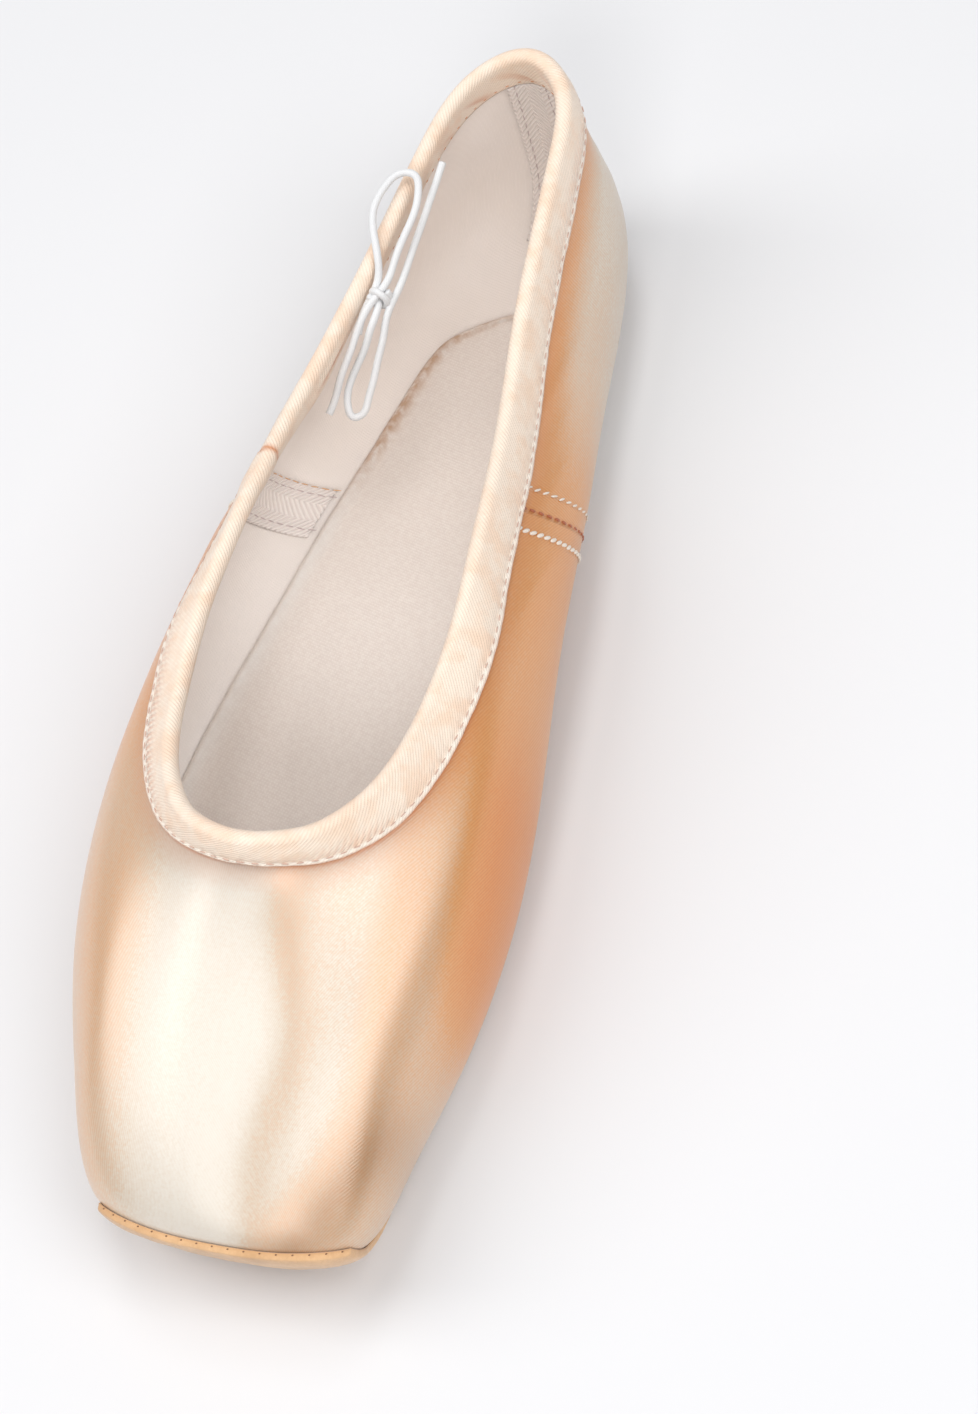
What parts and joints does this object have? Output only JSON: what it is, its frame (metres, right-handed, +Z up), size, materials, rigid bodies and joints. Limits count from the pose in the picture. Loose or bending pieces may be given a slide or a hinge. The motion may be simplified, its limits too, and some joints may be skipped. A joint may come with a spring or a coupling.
{
  "type": "pointe shoe",
  "caption": "Satin ballet shoe with a hard square toe box, suede platform and sole, cloth binding round a low collar, and a thin drawstring tied in a bow.",
  "frame": {"origin": "middle of the shoe's bounding box, at the flat of the sole", "axes": "+Z up from the sole, +Y from the toe to the heel, +X to the side away from the drawstring's bow"},
  "size_m": [0.0802, 0.2422, 0.0561],
  "materials": {
    "satin": "satin",
    "binding": "matte",
    "toe_suede": "suede",
    "outsole_suede": "suede",
    "insole_canvas": "matte",
    "tape": "matte",
    "cord": "matte"
  },
  "bodies": {
    "root": {"upper": "satin", "binding": "binding", "toe_suede": "toe_suede", "outsole": "outsole_suede", "insole": "insole_canvas", "heel_tape": "tape", "seam_tape_left": "tape", "seam_tape_right": "tape", "drawstring_knot": "cord", "drawstring_loop_upper": "cord", "drawstring_loop_lower": "cord", "drawstring_end_upper": "cord", "drawstring_end_lower": "cord"}
  },
  "joints": []
}
